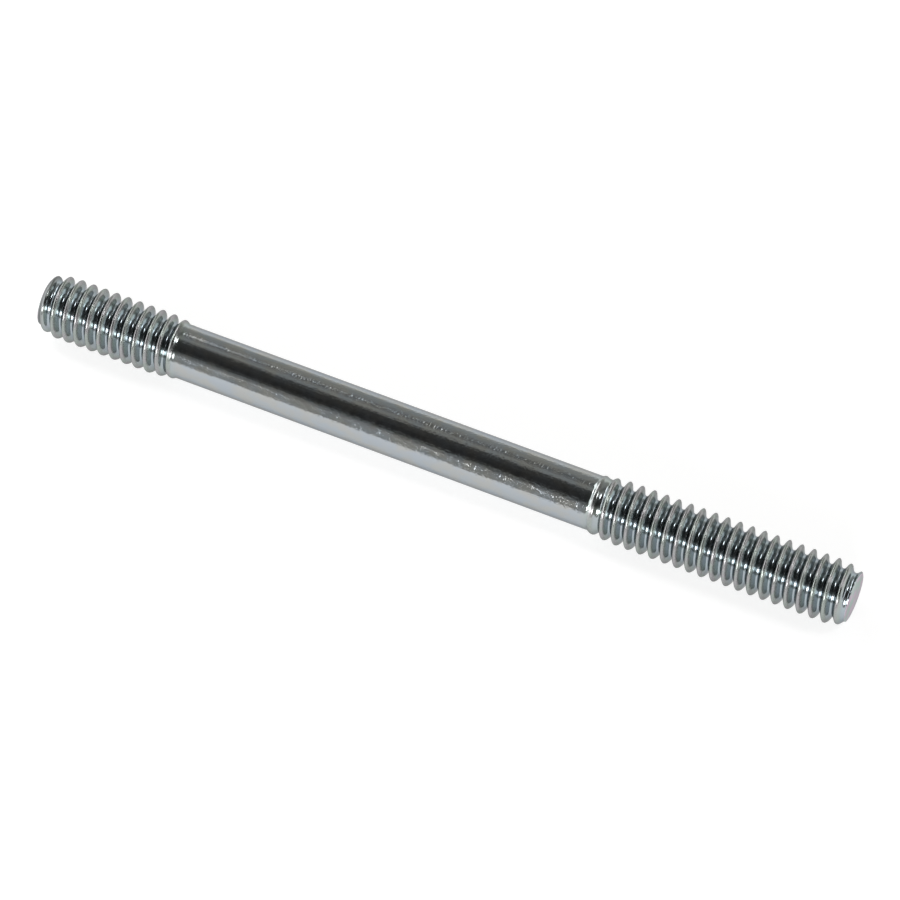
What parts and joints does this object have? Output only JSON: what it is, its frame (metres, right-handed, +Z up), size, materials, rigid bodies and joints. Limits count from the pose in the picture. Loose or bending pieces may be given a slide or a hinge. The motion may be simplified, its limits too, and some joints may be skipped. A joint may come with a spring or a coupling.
{
  "type": "air cleaner stud",
  "caption": "Double-ended stud that holds an air cleaner lid down: a short thread for the carburettor, a plain shank and a long thread for a wing nut.",
  "frame": {"origin": "on the stud's axis, halfway between its end faces", "axes": "+X along the axis, towards the long thread's end; +Z up as the stud lies on a table"},
  "size_m": [0.0858, 0.0064, 0.0064],
  "materials": {
    "zinc_plated_steel": "bright zinc plate with a clear blue-green passivate"
  },
  "bodies": {
    "root": {"air_cleaner_stud": "zinc_plated_steel"}
  },
  "joints": []
}
